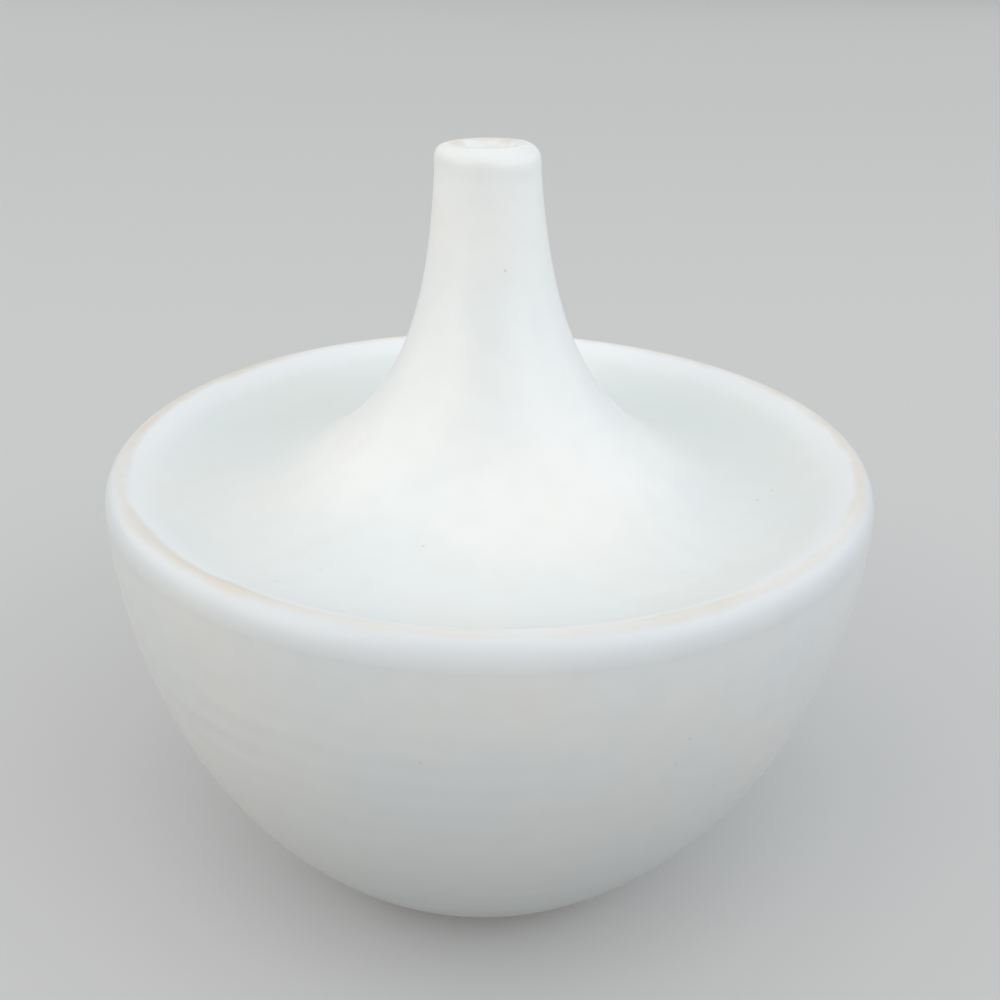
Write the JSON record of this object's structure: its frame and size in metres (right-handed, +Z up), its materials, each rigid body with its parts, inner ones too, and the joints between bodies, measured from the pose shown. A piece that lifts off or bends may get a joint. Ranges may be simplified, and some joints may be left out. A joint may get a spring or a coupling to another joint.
{
  "type": "bud vase",
  "caption": "Bud vase: a deep round bowl closed by a dished deck that sweeps up into a slim tapered neck with a small mouth.",
  "frame": {"origin": "on the table under the middle of the bowl's widest ring, which is the bottom centre of the vase's box", "axes": "+Z up along the vase, from foot to mouth; the neck leans a little to -X, and -Y is the side that faces the viewer in the picture"},
  "size_m": [0.1503, 0.1502, 0.1553],
  "materials": {
    "satin_glaze": "satin white glaze over buff stoneware",
    "celadon_glaze": "satin white glaze with a faint celadon tint where it pools",
    "bare_stoneware": "unglazed fired buff stoneware",
    "fired_slip": "unglazed fired slip"
  },
  "bodies": {
    "root": {"foot_ring": "bare_stoneware", "foot_slip_bead": "fired_slip", "bowl": "satin_glaze", "rim_slip_bead": "fired_slip", "deck": "celadon_glaze", "neck_slip_bead": "fired_slip", "neck": "satin_glaze"}
  },
  "joints": []
}
